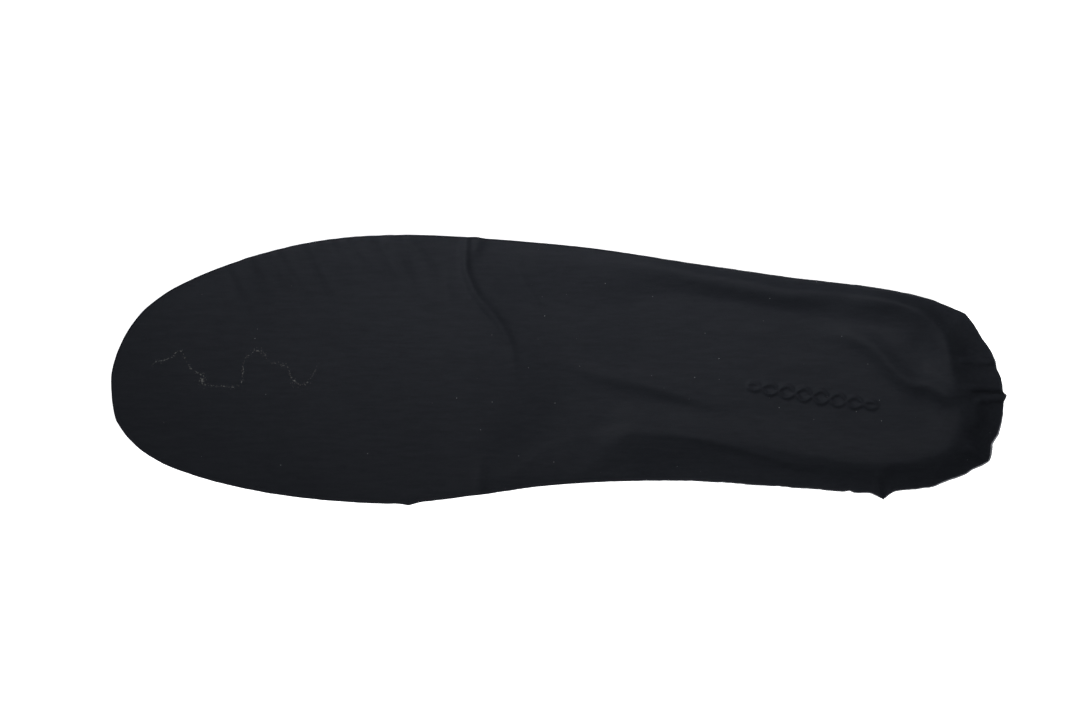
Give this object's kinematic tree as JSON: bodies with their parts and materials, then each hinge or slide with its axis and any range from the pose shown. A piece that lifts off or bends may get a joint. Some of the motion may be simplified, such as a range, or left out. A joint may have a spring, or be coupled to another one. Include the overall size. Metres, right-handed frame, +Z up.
{
  "type": "cushioned insole",
  "caption": "Full-length cushioned insole for a right shoe: leather cover with a turned-up heel and arch margin over a foam footbed, comfort pad, arch cookie and gel inserts.",
  "frame": {"origin": "middle of the bounding box's underside, on the surface that the insole rests on", "axes": "+X along the insole's length from toe to heel, +Y across it to the outer (lateral) side of the right foot, +Z up to the foot"},
  "size_m": [0.2971, 0.0896, 0.0168],
  "materials": {
    "leather": "satin",
    "backing_foam": "matte",
    "pad_foam": "matte",
    "footbed_foam": "matte",
    "cookie_foam": "matte",
    "gel": "satin",
    "lining_cloth": "matte"
  },
  "bodies": {
    "root": {"top_cover": "leather", "cover_backing": "backing_foam", "comfort_pad": "pad_foam", "footbed": "footbed_foam", "arch_cookie": "cookie_foam", "heel_insert": "gel", "ball_insert": "gel", "bottom_cloth": "lining_cloth"}
  },
  "joints": []
}
